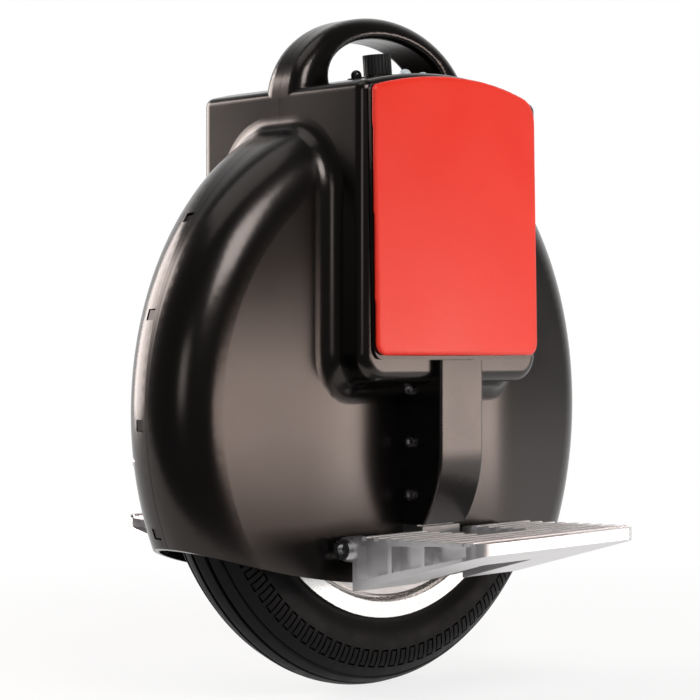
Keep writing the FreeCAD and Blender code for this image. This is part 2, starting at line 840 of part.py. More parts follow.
save("right_pedal", mirrored(pedal))
save("left_pedal_grips", Part.makeCompound(grips))
save("right_pedal_grips", Part.makeCompound([mirrored(strip) for strip in grips]))
save("left_hinge_pin", pin)
save("right_hinge_pin", mirrored(pin))
save("left_pin_screws", Part.makeCompound(pin_screws))
save("right_pin_screws", Part.makeCompound([mirrored(screw) for screw in pin_screws]))

# Axle with its washers and nuts
nut_flats = 20.0
washer_radius = 12.0
washer_height = 1.5
nut_height = 5.0
shoulder_gap = 1.0
hub_reach = 16.0
exit_room = 0.8
axle_shoulder = cover_hub_height + shoulder_gap
stator_exit = hub_reach + cable_radius + exit_room
middle = rod(axle_radius, axle_centre - along_y * axle_shoulder, axle_centre + along_y * axle_shoulder)
axle = middle.fuse(flatted(axle_end_radius, -axle_end, axle_end)).removeSplitter()
exit_spot = axle_centre - along_y * stator_exit
bore_end = exit_spot + along_y * (axle_bore - free_gap)
axle = axle.cut(rod(axle_bore, axle_centre - along_y * axle_end, bore_end))
axle = axle.cut(rod(axle_bore, exit_spot, exit_spot + along_z * (2 * axle_radius)))
save("axle", axle)
hex_sides = 6
hex_radius = nut_flats / 2 / math.cos(math.pi / hex_sides)
washer_start = axle_centre + along_y * hanger_face
nut_start = washer_start + along_y * washer_height
washer = tube(washer_radius, axle_end_radius + fit_gap, washer_start, nut_start)
corners = []
for i in range(hex_sides + 1):
    turn = 2 * math.pi * i / hex_sides
    corners.append(nut_start + vec(hex_radius * math.cos(turn), 0, hex_radius * math.sin(turn)))
nut = Part.Face(Part.makePolygon(corners)).extrude(along_y * nut_height)
nut = nut.cut(rod(axle_end_radius + fit_gap, nut_start, nut_start + along_y * nut_height))
save("axle_washers", Part.makeCompound([washer, mirrored(washer)]))
save("axle_nuts", Part.makeCompound([nut, mirrored(nut)]))

# Bearings
inner_ring_wall = 3.5
ball_way = 4.0
outer_ring_wall = 4.0
bearing_inner = axle_radius + inner_ring_wall
bearing_race = bearing_inner + ball_way
bearing_radius = bearing_race + outer_ring_wall
ball_radius = 3.0
ball_count = 8
ball_circle = (bearing_inner + bearing_race) / 2
y0 = along_y * bearing_start + axle_centre
y1 = y0 + along_y * bearing_width
ball_line = (y0 + y1) / 2
groove = Part.makeTorus(ball_circle, ball_radius + fit_gap, ball_line, along_y)
inner_ring = tube(bearing_inner, axle_radius + fit_gap, y0, y1).cut(groove)
outer_ring = tube(bearing_radius, bearing_race, y0, y1).cut(groove)
ball = Part.makeSphere(ball_radius, ball_line + along_z * ball_circle)
balls = around_axle(ball, ball_count)
save("bearing_inner_rings", Part.makeCompound([inner_ring, mirrored(inner_ring)]))
save("bearing_outer_rings", Part.makeCompound([outer_ring, mirrored(outer_ring)]))
save("bearing_balls", Part.makeCompound(balls + [mirrored(ball) for ball in balls]))

# Stator and magnets
stator_half = 12.0
magnet_depth = 3.5
air_gap = 1.0
tip_room = 3.5
coil_length = 13.0
coil_room = 1.0
yoke_depth = 8.0
hub_half = 4.0
hub_wall = 7.5
magnet_inner = rim_bore - magnet_depth
stator_radius = magnet_inner - air_gap
coil_end = stator_radius - tip_room
coil_start = coil_end - coil_length
stator_root = coil_start - coil_room
stator_yoke = stator_root - yoke_depth
hub_radius = axle_radius + hub_wall
tooth_pitch = 18.2
tooth_count = int(2 * math.pi * coil_start / tooth_pitch)
tooth_half = 3.0
tip_half = 7.0
tip_height = 2.5
coil_thickness = 2.8
magnet_count = 30
magnet_share = 0.9
yoke = turned([(axle_radius + fit_gap, -hub_reach), (hub_radius, -hub_reach), (hub_radius, -hub_half),
               (stator_yoke, -hub_half), (stator_yoke, -stator_half), (stator_root, -stator_half),
               (stator_root, stator_half), (stator_yoke, stator_half), (stator_yoke, hub_half),
               (hub_radius, hub_half), (hub_radius, hub_reach), (axle_radius + fit_gap, hub_reach)])
tooth_foot = stator_root - coil_thickness
tip_foot = stator_radius - tip_height
tooth = block(-tooth_half, tooth_half, -stator_half, stator_half, tooth_foot, stator_radius)
tip = block(-tip_half, tip_half, -stator_half, stator_half, tip_foot, stator_radius + tip_half)
tooth = tooth.fuse(tip).common(block(-tip_half, tip_half, -stator_half, stator_half, 0, far_reach))
tooth.translate(axle_centre)
trim = rod(stator_radius, axle_centre - along_y * stator_half, axle_centre + along_y * stator_half)
tooth = tooth.common(trim).removeSplitter()
save("stator_core", yoke.fuse(around_axle(tooth, tooth_count)).removeSplitter())
coil_side = tooth_half + coil_thickness
coil_face = stator_half + coil_thickness
coil_in_side = tooth_half + fit_gap
coil_in_face = stator_half + fit_gap
coil = block(-coil_side, coil_side, -coil_face, coil_face, coil_start, coil_end)
coil = coil.cut(block(-coil_in_side, coil_in_side, -coil_in_face, coil_in_face, 0, far_reach))
coil.translate(axle_centre)
save("stator_windings", Part.makeCompound(around_axle(coil, tooth_count)))
magnet_turn = 360.0 / magnet_count * magnet_share
magnet_start = axle_centre - along_y * stator_half
magnet = Part.makeCylinder(rim_bore - fit_gap, 2 * stator_half, magnet_start, along_y, magnet_turn)
magnet = magnet.cut(rod(magnet_inner, magnet_start, magnet_start + along_y * (2 * stator_half)))
save("magnets", Part.makeCompound(around_axle(magnet, magnet_count)))

# Rim, motor covers and their screws
half_rim = [(rim_bore, rim_half), (rim_slope, rim_half), (rim_slope_end, rim_face),
            (rim_radius, rim_face), (rim_radius, bead_side), (bead_seat, bead_side),
            (bead_toe, bead_toe_side), (rim_well, rim_well_half)]
rim = turned(half_rim + [(r, -y) for r, y in reversed(half_rim)])
cover_flat = rim_half + cover_flat_height
cover_chamfer = 1.5
cover_land = 3.0
cover_slope_share = 0.6
cover_slope_rise = 14.0
cover_boss_wall = 13.0
cover_boss_drop = 2.0
cover_lip_gap = 1.0
cover_seat_depth = 7.0
cover_inner_step = 1.5
cover_inner_run = 5.5
cover_inner_rise = 3.5
cover_wall = 4.0
cover_inner_bow = 1.5
cover_flat_end = rim_bore + cover_land
cover_slope = rim_bore * cover_slope_share
cover_slope_height = rim_half + cover_slope_rise
cover_seat_wall = bearing_radius + cover_seat_depth
cover_boss = cover_seat_wall + cover_boss_wall
cover_boss_height = cover_hub_height - cover_boss_drop
cover_lip = bearing_inner + cover_lip_gap
cover_inner_start = rim_bore - cover_inner_step
cover_inner_mid = cover_inner_start - cover_inner_run
cover_inner_mid_height = rim_half + cover_inner_rise
cover_inner_slope_height = cover_slope_height - cover_wall
cover_inner_height = cover_inner_slope_height + cover_inner_bow
bearing_fit = bearing_radius + fit_gap
motor_cover = turned([(cover_inner_start, rim_half), (cover_edge_radius, rim_half),
                      (cover_edge_radius, cover_flat - cover_chamfer),
                      (cover_edge_radius - cover_chamfer, cover_flat), (cover_flat_end, cover_flat),
                      (cover_slope, cover_slope_height), (cover_boss, cover_boss_height),
                      (cover_seat_wall, cover_hub_height), (cover_lip, cover_hub_height),
                      (cover_lip, bearing_end + fit_gap), (bearing_fit, bearing_end + fit_gap),
                      (bearing_fit, bearing_start), (cover_seat_wall, bearing_start),
                      (cover_seat_wall, cover_inner_height), (cover_slope, cover_inner_slope_height),
                      (cover_inner_mid, cover_inner_mid_height)])
motor_screw_land = 8.0
motor_screw_place = rim_bore + motor_screw_land
motor_screw_count = 12
motor_screw_radius = 2.0
motor_head_radius = 3.5
motor_head_height = 2.4
motor_screw_reach = 12.0
spot = axle_centre + along_z * motor_screw_place + along_y * cover_flat
head_end = spot + along_y * motor_head_height
head = rod(motor_head_radius, spot, head_end)
pit_floor = head_end - along_y * (motor_head_height * head_socket_share)
pit = rod(motor_head_radius * head_socket_share, pit_floor, head_end)
motor_screw = head.fuse(rod(motor_screw_radius, spot - along_y * motor_screw_reach, spot)).cut(pit)
motor_bore = rod(motor_screw_radius + fit_gap, spot - along_y * (motor_screw_reach + free_gap), spot)
screw_turn = 360.0 / motor_screw_count / 2
screws = around_axle(motor_screw, motor_screw_count, screw_turn)
bores = around_axle(motor_bore, motor_screw_count, screw_turn)
motor_cover = motor_cover.cut(bores)
rim = rim.cut(bores + [mirrored(bore) for bore in bores])
save("motor_cover_screws", Part.makeCompound(screws + [mirrored(screw) for screw in screws]))

# Valve through the rim, inside the shell at rest
valve_rise = 5.0
valve_y = 5.0
valve_lean = 56.6
valve_radius = 3.0
valve_length = 26.0
valve_collar = 4.5
valve_collar_height = 1.5
valve_cap_start = 17.5
valve_cap_wall = 1.2
valve_cap_length = 10.0
valve_room = 5.5
valve_r = rim_well + valve_rise
valve_cap_radius = valve_radius + valve_cap_wall
valve_out = vec(0, math.sin(math.radians(valve_lean)), -math.cos(math.radians(valve_lean)))
valve_base = on_section(valve_r, valve_y)
valve_tip = valve_base + valve_out * valve_length
valve = rod(valve_radius, valve_base, valve_tip)
cap_base = valve_base + valve_out * valve_cap_start
cap_tip = cap_base + valve_out * valve_cap_length
valve_cap = rod(valve_cap_radius, cap_base, cap_tip)
valve_cap = valve_cap.cut(rod(valve_radius + fit_gap, cap_base, valve_tip))
rim = rim.cut(rod(valve_radius + fit_gap, valve_base, valve_tip))
valve_slot = rod(valve_room, valve_base, valve_tip + valve_out * overshoot)
save("rim", rim)
save("left_motor_cover", motor_cover.cut(valve_slot))
save("right_motor_cover", mirrored(motor_cover))
save("valve_stem", valve)
save("valve_cap", valve_cap)

# Tyre and inner tube
tread_wall = 7.5
side_wall = 4.5
bead_gap = 0.3
bead_width = 6.0
bead_side_tyre = bead_side - bead_gap
bead_low = bead_seat + bead_gap
outer_shares = [(0.1, 0.79), (0.24, 0.935), (0.45, 1.0), (0.7, 0.9), (0.88, 0.62), (0.97, 0.3), (1.0, 0.0)]
inner_shares = [(0.12, 0.5), (0.42, 1.0), (0.72, 0.86), (0.92, 0.5), (1.0, 0.0)]
groove_step = 9.0
groove_places = [-groove_step, 0.0, groove_step]
groove_half = 1.1
groove_depth = 3.0
groove_slope_share = 0.25
flank_top = rim_radius + bead_gap
outer_line = []
for rise_share, width_share in outer_shares:
    outer_line.append((flank_top + (tyre_radius - flank_top) * rise_share, tyre_half * width_share))
outer_line = [(flank_top, bead_side_tyre)] + outer_line
bead_inner = bead_side_tyre - bead_width
inner_line = []
for rise_share, width_share in inner_shares:
    reach = bead_low + (tyre_radius - tread_wall - bead_low) * rise_share
    width = bead_inner + (tyre_half - side_wall - bead_inner) * width_share
    inner_line.append((reach, width))
inner_line[-1] = (inner_line[-1][0], 0.0)
inner_line = [(bead_low, bead_inner)] + inner_line[1:]


def curve(points):
    line = Part.BSplineCurve()
    line.interpolate([on_section(r, y) for r, y in points])
    return line.toShape()


outer_all = outer_line + [(r, -y) for r, y in reversed(outer_line[:-1])]
inner_all = inner_line + [(r, -y) for r, y in reversed(inner_line[:-1])]
tyre_edges = [curve(outer_all), curve(inner_all)]
for way in (1, -1):
    bead_line = way * bead_side_tyre
    stops = [(flank_top, bead_line), (bead_low, bead_line), (bead_low, way * bead_inner)]
    for a, b in zip(stops, stops[1:]):
        tyre_edges.append(Part.LineSegment(on_section(*a), on_section(*b)).toShape())
tyre_wire = Part.Wire(Part.__sortEdges__(tyre_edges))
tyre = Part.Face(tyre_wire).revolve(axle_centre, along_y, 360)
for place in groove_places:
    floor = tyre_radius - groove_depth - abs(place) * groove_slope_share
    tyre = tyre.cut(turned([(floor, place - groove_half), (tyre_radius + groove_depth, place - groove_half),
                            (tyre_radius + groove_depth, place + groove_half), (floor, place + groove_half)]))
save("tyre", tyre)
tube_gap = 0.3
tube_side_room = 4.0
tube_wall = 1.5
tube_crown = tyre_radius - tread_wall - tube_gap
tube_foot = rim_well + tube_gap
tube_place = (tube_crown + tube_foot) / 2
tube_tall = (tube_crown - tube_foot) / 2
tube_wide = tyre_half - side_wall - tube_side_room


def tube_ring(inset):
    oval = Part.Ellipse(origin, max(tube_tall, tube_wide) - inset, min(tube_tall, tube_wide) - inset)
    turn = FreeCAD.Rotation(along_z, along_y, along_x, "ZXY")
    if tube_wide > tube_tall:
        turn = FreeCAD.Rotation(along_y, along_z, along_x, "ZXY")
    oval.transform(FreeCAD.Placement(on_section(tube_place, 0), turn).toMatrix())
    return Part.Face(Part.Wire([oval.toShape()])).revolve(axle_centre, along_y, 360)


valve_bore = rod(valve_radius + fit_gap, valve_base, valve_tip)
save("inner_tube", tube_ring(0).cut(tube_ring(tube_wall)).cut(valve_bore))

# Battery in the left box
cell_radius = 9.1
cell_length = 65.0
case_wall = 1.2
foam_depth = 1.2
battery_rise = 11.0
battery_side_room = 8.0
battery_top_room = 36.0
battery_low = box_low + battery_rise
cell_pitch = 2 * cell_radius + free_gap
cell_columns = int(2 * (box_half - battery_side_room) / cell_pitch)
cell_rows = int((deck_side - battery_top_room - battery_low) / (cell_length + side_gap))
case_back = shell_half + foam_depth
case_front = case_back + 2 * cell_radius + 2 * (case_wall + side_gap)
case_half = cell_pitch * cell_columns / 2 + case_wall
cell_line = (case_back + case_front) / 2
case_high = battery_low + cell_rows * (cell_length + side_gap) + side_gap + 2 * case_wall
case = block(-case_half, case_half, case_back, case_front, battery_low, case_high)
room_half = case_half - case_wall
case = case.cut(block(-room_half, room_half, case_back + case_wall, case_front - case_wall,
                      battery_low + case_wall, case_high - case_wall))
cells = []
for row in range(cell_rows):
    for column in range(cell_columns):
        x = cell_pitch * (column - (cell_columns - 1) / 2)
        low = battery_low + case_wall + row * (cell_length + side_gap)
        cells.append(rod(cell_radius, vec(x, cell_line, low), vec(x, cell_line, low + cell_length)))
board_depth = 1.6
battery_board_half = 45.0
battery_board_inset = 4.0
battery_board = block(-battery_board_half, battery_board_half, case_back + battery_board_inset,
                      case_front - battery_board_inset, case_high, case_high + board_depth)
foam_half = 60.0
foam_height = 18.0
foam_first = 21.0
foam_step = 80.0
foam_heights = [battery_low + foam_first, battery_low + foam_first + foam_step]
foams = []
for height in foam_heights:
    foams.append(block(-foam_half, foam_half, shell_half, case_back, height, height + foam_height))
save("battery_case", case)
save("battery_cells", Part.makeCompound(cells))
save("battery_board", battery_board)
save("battery_foams", Part.makeCompound(foams))

# Controller in the right box
sink_half = 60.0
sink_rise = 15.0
sink_height = 110.0
sink_low = box_low + sink_rise
sink_high = sink_low + sink_height
sink_depth = 6.0
fin_count = 9
fin_half = 1.2
fin_height = 3.0
post_radius = 3.0
post_height = 4.0
post_inset = 7.0
fet_half = 5.0
fet_height = 15.0
fet_depth = 4.5
fet_count = 6
fet_step = 17.0
fet_drop = 22.0
fet_low = sink_high - fet_drop
cap_count = 3
cap_radius = 6.0
cap_length = 11.0
cap_step = 20.0
cap_rise = 38.0
cap_height = sink_low + cap_rise
gyro_half = 12.0
gyro_rise = 50.0
gyro_low = sink_low + gyro_rise
gyro_height = 20.0
gyro_depth = 3.0
gyro_place = 32.0
plug_half = 6.0
plug_rise = 12.0
plug_low = sink_low + plug_rise
plug_height = 10.0
plug_depth = 9.8
sink_front = shell_half + sink_depth
board_back = sink_front + post_height
board_front = board_back + board_depth
sink = block(-sink_half, sink_half, shell_half, sink_front - fin_height, sink_low, sink_high)
fins = []
for i in range(fin_count):
    x = (sink_half - fin_half) * (2.0 * i / (fin_count - 1) - 1)
    fins.append(block(x - fin_half, x + fin_half, shell_half, sink_front, sink_low, sink_high))
sink = sink.fuse(fins).removeSplitter()
board = block(-sink_half, sink_half, board_back, board_front, sink_low, sink_high)
posts = []
post_rooms = []
for x in (sink_half - post_inset, post_inset - sink_half):
    for z in (sink_low + post_inset, sink_high - post_inset):
        foot = vec(x, sink_front - fin_height, z)
        posts.append(rod(post_radius, foot, vec(x, board_back, z)))
        post_rooms.append(rod(post_radius + side_gap, foot, vec(x, board_back, z)))
fets = []
for i in range(fet_count):
    x = fet_step * (i - (fet_count - 1) / 2)
    fets.append(block(x - fet_half, x + fet_half, board_front, board_front + fet_depth, fet_low,
                      fet_low + fet_height))
caps = []
for i in range(cap_count):
    spot = vec(cap_step * (i - (cap_count - 1)) - plug_half, board_front, cap_height)
    caps.append(rod(cap_radius, spot, spot + along_y * cap_length))
gyro = block(gyro_place - gyro_half, gyro_place + gyro_half, board_front, board_front + gyro_depth, gyro_low,
             gyro_low + gyro_height)
plug_line = board_front + plug_depth / 2
plug = block(-plug_half, plug_half, board_front, board_front + plug_depth, plug_low, plug_low + plug_height)
sink = sink.cut(post_rooms)
save("controller_sink", mirrored(sink))
save("controller_board", mirrored(board))
save("controller_posts", Part.makeCompound([mirrored(post) for post in posts]))
save("power_transistors", Part.makeCompound([mirrored(piece) for piece in fets]))
save("capacitors", Part.makeCompound([mirrored(piece) for piece in caps]))
save("gyro_sensor", mirrored(gyro))
save("motor_plug", mirrored(plug))

# Motor cable from the windings through the axle, round the nut and up to the plug
cable_bend = 3.0
end_bend = 4.0
coil_line = stator_half + coil_thickness - side_gap
coil_run = 20.0
straight_run = 2.0
exit_height = axle_height + cable_bend
end_line = axle_end + end_bend + free_gap
coil_base = axle_height + coil_start
coil_foot = coil_base - coil_run
hub_top = axle_height + hub_radius + coil_run
gate_low = axle_height + end_bend + straight_run
gate_high = box_low + shell_wall + straight_run


def swan(start, end):
    middle = (start.z + end.z) / 2
    line = Part.BezierCurve()
    line.setPoles([start, vec(0, start.y, middle), vec(0, end.y, middle), end])
    return line.toShape()


def bend(start, centre, end):
    spot = (start + end) / 2 - centre
    spot.normalize()
    radius = (start - centre).Length
    return Part.Arc(start, centre + spot * radius, end).toShape()


def straight(start, end):
    return Part.LineSegment(start, end).toShape()


stops = [on_side(-coil_line, coil_base), on_side(-coil_line, coil_foot), on_side(-stator_exit, hub_top),
         on_side(-stator_exit, exit_height), on_side(-stator_exit - cable_bend, axle_height),
         on_side(end_bend - end_line, axle_height), on_side(-end_line, axle_height + end_bend),
         on_side(-end_line, gate_low), on_side(-cable_entry, box_low), on_side(-cable_entry, gate_high),
         on_side(-plug_line, plug_low)]
exit_turn = on_side(-stator_exit - cable_bend, exit_height)
end_turn = on_side(end_bend - end_line, axle_height + end_bend)
spine = [straight(stops[0], stops[1]), swan(stops[1], stops[2]), straight(stops[2], stops[3]),
         bend(stops[3], exit_turn, stops[4]), straight(stops[4], stops[5]),
         bend(stops[5], end_turn, stops[6]), straight(stops[6], stops[7]), swan(stops[7], stops[8]),
         straight(stops[8], stops[9]), swan(stops[9], stops[10])]
ring = Part.Wire([Part.Circle(stops[0], along_z, cable_radius).toShape()])
save("motor_cable", Part.Wire(spine).makePipeShell([ring], True, False))

# Charge socket with its screw cap, power button and level lights
socket_low = 14.0
socket_high = 9.0
socket_wall = 1.8
socket_bore = socket_radius - socket_wall
socket_floor = 4.0
socket_flange_over = 3.0
socket_flange = socket_radius + socket_flange_over
socket_flange_height = 1.5
contact_radius = 0.9
contact_circle = 2.8
contact_count = 3
charge_cap_wall = 2.0
charge_cap_gap = 0.4
charge_cap_height = 12.6
charge_cap_radius = socket_radius + charge_cap_wall
charge_cap_start = socket_flange_height + charge_cap_gap
charge_cap_end = charge_cap_start + charge_cap_height
charge_cap_roof = 3.0
rib_count = 24
rib_groove = 0.7
spot, out = deck_spot(cap_x, deck_row)
socket = rod(socket_radius, spot - out * socket_low, spot + out * socket_high)
socket = socket.fuse(rod(socket_flange, spot + out * fit_gap, spot + out * socket_flange_height))
socket = socket.cut(rod(socket_bore, spot - out * socket_floor, spot + out * socket_high)).removeSplitter()
contact = rod(contact_radius, spot - out * socket_floor, spot + out * (socket_high / 2))
contact.translate(along_y * contact_circle)
contacts = []
for i in range(contact_count):
    copy = contact.copy()
    copy.rotate(spot, out, 360.0 * i / contact_count)
    contacts.append(copy)
charge_cap = rod(charge_cap_radius, spot + out * charge_cap_start, spot + out * charge_cap_end)
cap_roof = spot + out * (charge_cap_end - charge_cap_roof)
charge_cap = charge_cap.cut(rod(socket_radius + side_gap, spot + out * charge_cap_start, cap_roof))
rib_foot = spot + along_y * charge_cap_radius
rib = rod(rib_groove, rib_foot, rib_foot + out * (2 * charge_cap_end))
ribs = []
for i in range(rib_count):
    copy = rib.copy()
    copy.rotate(spot, out, 360.0 * i / rib_count)
    ribs.append(copy)
charge_cap = charge_cap.cut(ribs)
save("charge_socket", socket)
save("charge_contacts", Part.makeCompound(contacts))
save("charge_cap", charge_cap)

button_low = 9.0
button_rise = 2.2
bezel_wall = 2.1
bezel_radius = button_radius + side_gap + bezel_wall
bezel_height = 0.8
switch_half = 5.0
switch_height = 7.0
switch_gap = 2.0
spot, out = deck_spot(button_x, deck_row)
button = rod(button_radius, spot - out * button_low, spot + out * button_rise)
dome = Part.makeSphere(button_radius, spot + out * button_rise)
button = button.fuse(dome).removeSplitter()
bezel = tube(bezel_radius, button_radius + side_gap, spot + out * fit_gap, spot + out * bezel_height)
switch_top = spot - out * (button_low + switch_gap)
switch = rod(switch_half, switch_top - out * switch_height, switch_top)
collar_room = rod(switch_half, switch_top, spot - out * (shell_wall + side_gap))
collar = collar_room.cut(rod(button_radius + side_gap, switch_top, spot))
save("power_button", button)
save("button_bezel", bezel)
save("button_switch", switch.fuse(collar).removeSplitter())

light_board_drop = 12.5
light_board_top = deck_crown - light_board_drop
light_board_half = 7.0
light_board_end = 8.0
lights = []
for i in range(led_count):
    x = led_first + led_step * i
    spot, out = deck_spot(x, deck_row)
    base = vec(x, deck_row, light_board_top)
    tip = vec(x, deck_row, spot.z + led_rise)
    lens = rod(led_radius, base, tip).fuse(Part.makeSphere(led_radius, tip)).removeSplitter()
    lights.append(lens)
light_board = block(led_first - light_board_end, led_first + led_step * (led_count - 1) + light_board_end,
                    deck_row - light_board_half, deck_row + light_board_half, light_board_top - board_depth,
                    light_board_top)
save("level_lights", Part.makeCompound(lights))
save("light_board", light_board)
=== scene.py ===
import math

import bmesh
import bpy
from mathutils import Matrix, Vector


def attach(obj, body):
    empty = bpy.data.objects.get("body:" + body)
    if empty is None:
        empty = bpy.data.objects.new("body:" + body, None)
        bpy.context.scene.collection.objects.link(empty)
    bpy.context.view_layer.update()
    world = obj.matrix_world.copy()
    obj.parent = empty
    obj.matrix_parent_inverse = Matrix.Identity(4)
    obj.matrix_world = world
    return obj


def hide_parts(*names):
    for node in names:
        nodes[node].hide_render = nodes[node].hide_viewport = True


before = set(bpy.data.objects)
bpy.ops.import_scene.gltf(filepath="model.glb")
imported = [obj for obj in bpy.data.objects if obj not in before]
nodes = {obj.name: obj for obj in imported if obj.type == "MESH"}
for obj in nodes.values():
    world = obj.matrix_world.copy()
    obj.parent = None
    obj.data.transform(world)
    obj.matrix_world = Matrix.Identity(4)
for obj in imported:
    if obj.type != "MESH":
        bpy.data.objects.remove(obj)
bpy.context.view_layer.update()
mm = 0.001
print("frame loaded:", len(nodes), "nodes")


def linear(hexText):
    values = []
    for i in (1, 3, 5):
        c = int(hexText[i:i + 2], 16) / 255
        values.append(c / 12.92 if c <= 0.04045 else ((c + 0.055) / 1.055) ** 2.4)
    return (*values, 1.0)


def addNode(tree, kind, settings=None, links=None):
    made = tree.nodes.new(kind)
    for key, value in (settings or {}).items():
        if isinstance(key, int) or key in made.inputs:
            made.inputs[key].default_value = value
        else:
            setattr(made, key, value)
    for key, source in (links or {}).items():
        tree.links.new(source, made.inputs[key])
    return made


def newMaterial(name):
    made = bpy.data.materials.new(name)
    made.use_nodes = True
    tree = made.node_tree
    tree.nodes.clear()
    return made, tree


def closeMaterial(tree, shader):
    addNode(tree, "ShaderNodeOutputMaterial", {}, {"Surface": shader.outputs[0]})


# in both kinds of finish the grain and the lines are drawn coarser than real ones, so that they show
finishLook = {"noiseLow": 0.3, "noiseHigh": 0.7, "grainDepthShare": 0.2, "lineDepthShare": 0.1}


# moulded plastics and rubber: a fine spark-eroded grain, faint cloudiness in the gloss
def mouldedPlastic(name, look):
    made, tree = newMaterial(name)
    place = addNode(tree, "ShaderNodeTexCoord")
    cloud = addNode(tree, "ShaderNodeTexNoise", {"Scale": 1 / (look["cloudMm"] * mm), "Detail": 3.0},
                    {"Vector": place.outputs["Object"]})
    grain = addNode(tree, "ShaderNodeTexNoise", {"Scale": 1 / (look["grainMm"] * mm), "Detail": 2.0},
                    {"Vector": place.outputs["Object"]})
    gloss = addNode(tree, "ShaderNodeMapRange", {
        "From Min": finishLook["noiseLow"], "From Max": finishLook["noiseHigh"],
        "To Min": look["rough"] - look["roughSpread"], "To Max": look["rough"] + look["roughSpread"]},
        {"Value": cloud.outputs["Fac"]})
    tone = addNode(tree, "ShaderNodeMix", {
        "data_type": "RGBA", 6: linear(look["dark"]), 7: linear(look["light"])},
        {"Factor": cloud.outputs["Fac"]})
    bump = addNode(tree, "ShaderNodeBump", {
        "Strength": look["bump"], "Distance": look["grainMm"] * mm * finishLook["grainDepthShare"]},
        {"Height": grain.outputs["Fac"]})
    shader = addNode(tree, "ShaderNodeBsdfPrincipled", {
        "IOR": look["ior"], "Metallic": 0.0, "Specular Tint": linear(look.get("tint", "#ffffff"))},
        {"Base Color": tone.outputs[2], "Roughness": gloss.outputs[0], "Normal": bump.outputs[0]})
    closeMaterial(tree, shader)
    return made


# bare metals: fine machining or polishing lines along one axis, with slightly uneven gloss
def workedMetal(name, look):
    made, tree = newMaterial(name)
    place = addNode(tree, "ShaderNodeTexCoord")
    lay = addNode(tree, "ShaderNodeMapping", {"Scale": look["lay"]}, {"Vector": place.outputs["Object"]})
    lines = addNode(tree, "ShaderNodeTexNoise", {"Scale": 1 / (look["lineMm"] * mm), "Detail": 3.0},
                    {"Vector": lay.outputs[0]})
    cloud = addNode(tree, "ShaderNodeTexNoise", {"Scale": 1 / (look["cloudMm"] * mm), "Detail": 2.0},
                    {"Vector": place.outputs["Object"]})
    gloss = addNode(tree, "ShaderNodeMapRange", {
        "From Min": finishLook["noiseLow"], "From Max": finishLook["noiseHigh"],
        "To Min": look["rough"] - look["roughSpread"], "To Max": look["rough"] + look["roughSpread"]},
        {"Value": lines.outputs["Fac"]})
    tone = addNode(tree, "ShaderNodeMix", {
        "data_type": "RGBA", 6: linear(look["dark"]), 7: linear(look["light"])},
        {"Factor": cloud.outputs["Fac"]})
    bump = addNode(tree, "ShaderNodeBump", {
        "Strength": look["bump"], "Distance": look["lineMm"] * mm * finishLook["lineDepthShare"]},
        {"Height": lines.outputs["Fac"]})
    shader = addNode(tree, "ShaderNodeBsdfPrincipled", {"Metallic": 1.0}, {
        "Base Color": tone.outputs[2], "Roughness": gloss.outputs[0], "Normal": bump.outputs[0]})
    closeMaterial(tree, shader)
    return made


# shell: ABS moulded in a polished tool, black with a satin, faintly warm sheen
shellAbs = mouldedPlastic("shellAbs", {
    "dark": "#040404", "light": "#070606", "rough": 0.22, "roughSpread": 0.02, "tint": "#fff0e9",
    "ior": 1.5, "cloudMm": 60, "grainMm": 1.2, "bump": 0.02})
# pillar covers and small black mouldings: the same resin from a duller tool
trimAbs = mouldedPlastic("trimAbs", {
    "dark": "#050505", "light": "#080808", "rough": 0.27, "roughSpread": 0.02, "tint": "#fff0e9",
    "ior": 1.55, "cloudMm": 40, "grainMm": 0.9, "bump": 0.02})
# knurled cap: moulded nylon, matt
capNylon = mouldedPlastic("capNylon", {
    "dark": "#0d0d0d", "light": "#161616", "rough": 0.5, "roughSpread": 0.05,
    "ior": 1.5, "cloudMm": 10, "grainMm": 0.6, "bump": 0.08})
# power button: moulded black acrylic, glossy
buttonAcrylic = mouldedPlastic("buttonAcrylic", {
    "dark": "#070708", "light": "#0a0a0b", "rough": 0.1, "roughSpread": 0.02,
    "ior": 1.5, "cloudMm": 5, "grainMm": 0.6, "bump": 0.01})
# leg pads: foam with a moulded red skin, even and matt with a dull sheen
padFoam = mouldedPlastic("padFoam", {
    "dark": "#f4311f", "light": "#fa3a27", "rough": 0.42, "roughSpread": 0.05,
    "ior": 1.45, "cloudMm": 35, "grainMm": 1.0, "bump": 0.12})
# tyre, tube and cable: vulcanised rubber, a dusty black that mirrors little
tyreRubber = mouldedPlastic("tyreRubber", {
    "dark": "#060505", "light": "#0b0909", "rough": 0.48, "roughSpread": 0.06,
    "ior": 1.2, "cloudMm": 9, "grainMm": 0.8, "bump": 0.2})
# tread strips of the pedals: sand-blasted aluminium, pale and without a mirror
gripAluminium = workedMetal("gripAluminium", {
    "dark": "#dedcdc", "light": "#e8e6e6", "rough": 0.55, "roughSpread": 0.05,
    "lineMm": 0.8, "lay": (1, 1, 1), "cloudMm": 10, "bump": 0.1})
# pedals: die-cast aluminium, tumbled to a bright satin
pedalAluminium = workedMetal("pedalAluminium", {
    "dark": "#d6d4d5", "light": "#e2e0e1", "rough": 0.36, "roughSpread": 0.02,
    "lineMm": 1.2, "lay": (0.08, 1, 1), "cloudMm": 20, "bump": 0.01})
# hangers and heat sink: aluminium as cast, a dull grey
hangerAluminium = workedMetal("hangerAluminium", {
    "dark": "#8f8e8e", "light": "#a3a2a2", "rough": 0.42, "roughSpread": 0.05,
    "lineMm": 0.9, "lay": (1, 1, 1), "cloudMm": 12, "bump": 0.1})
# rim: turned bright aluminium with a soft mirror
rimAluminium = workedMetal("rimAluminium", {
    "dark": "#ebeae9", "light": "#f4f3f2", "rough": 0.28, "roughSpread": 0.03,
    "lineMm": 1.5, "lay": (1, 1, 1), "cloudMm": 25, "bump": 0.0})
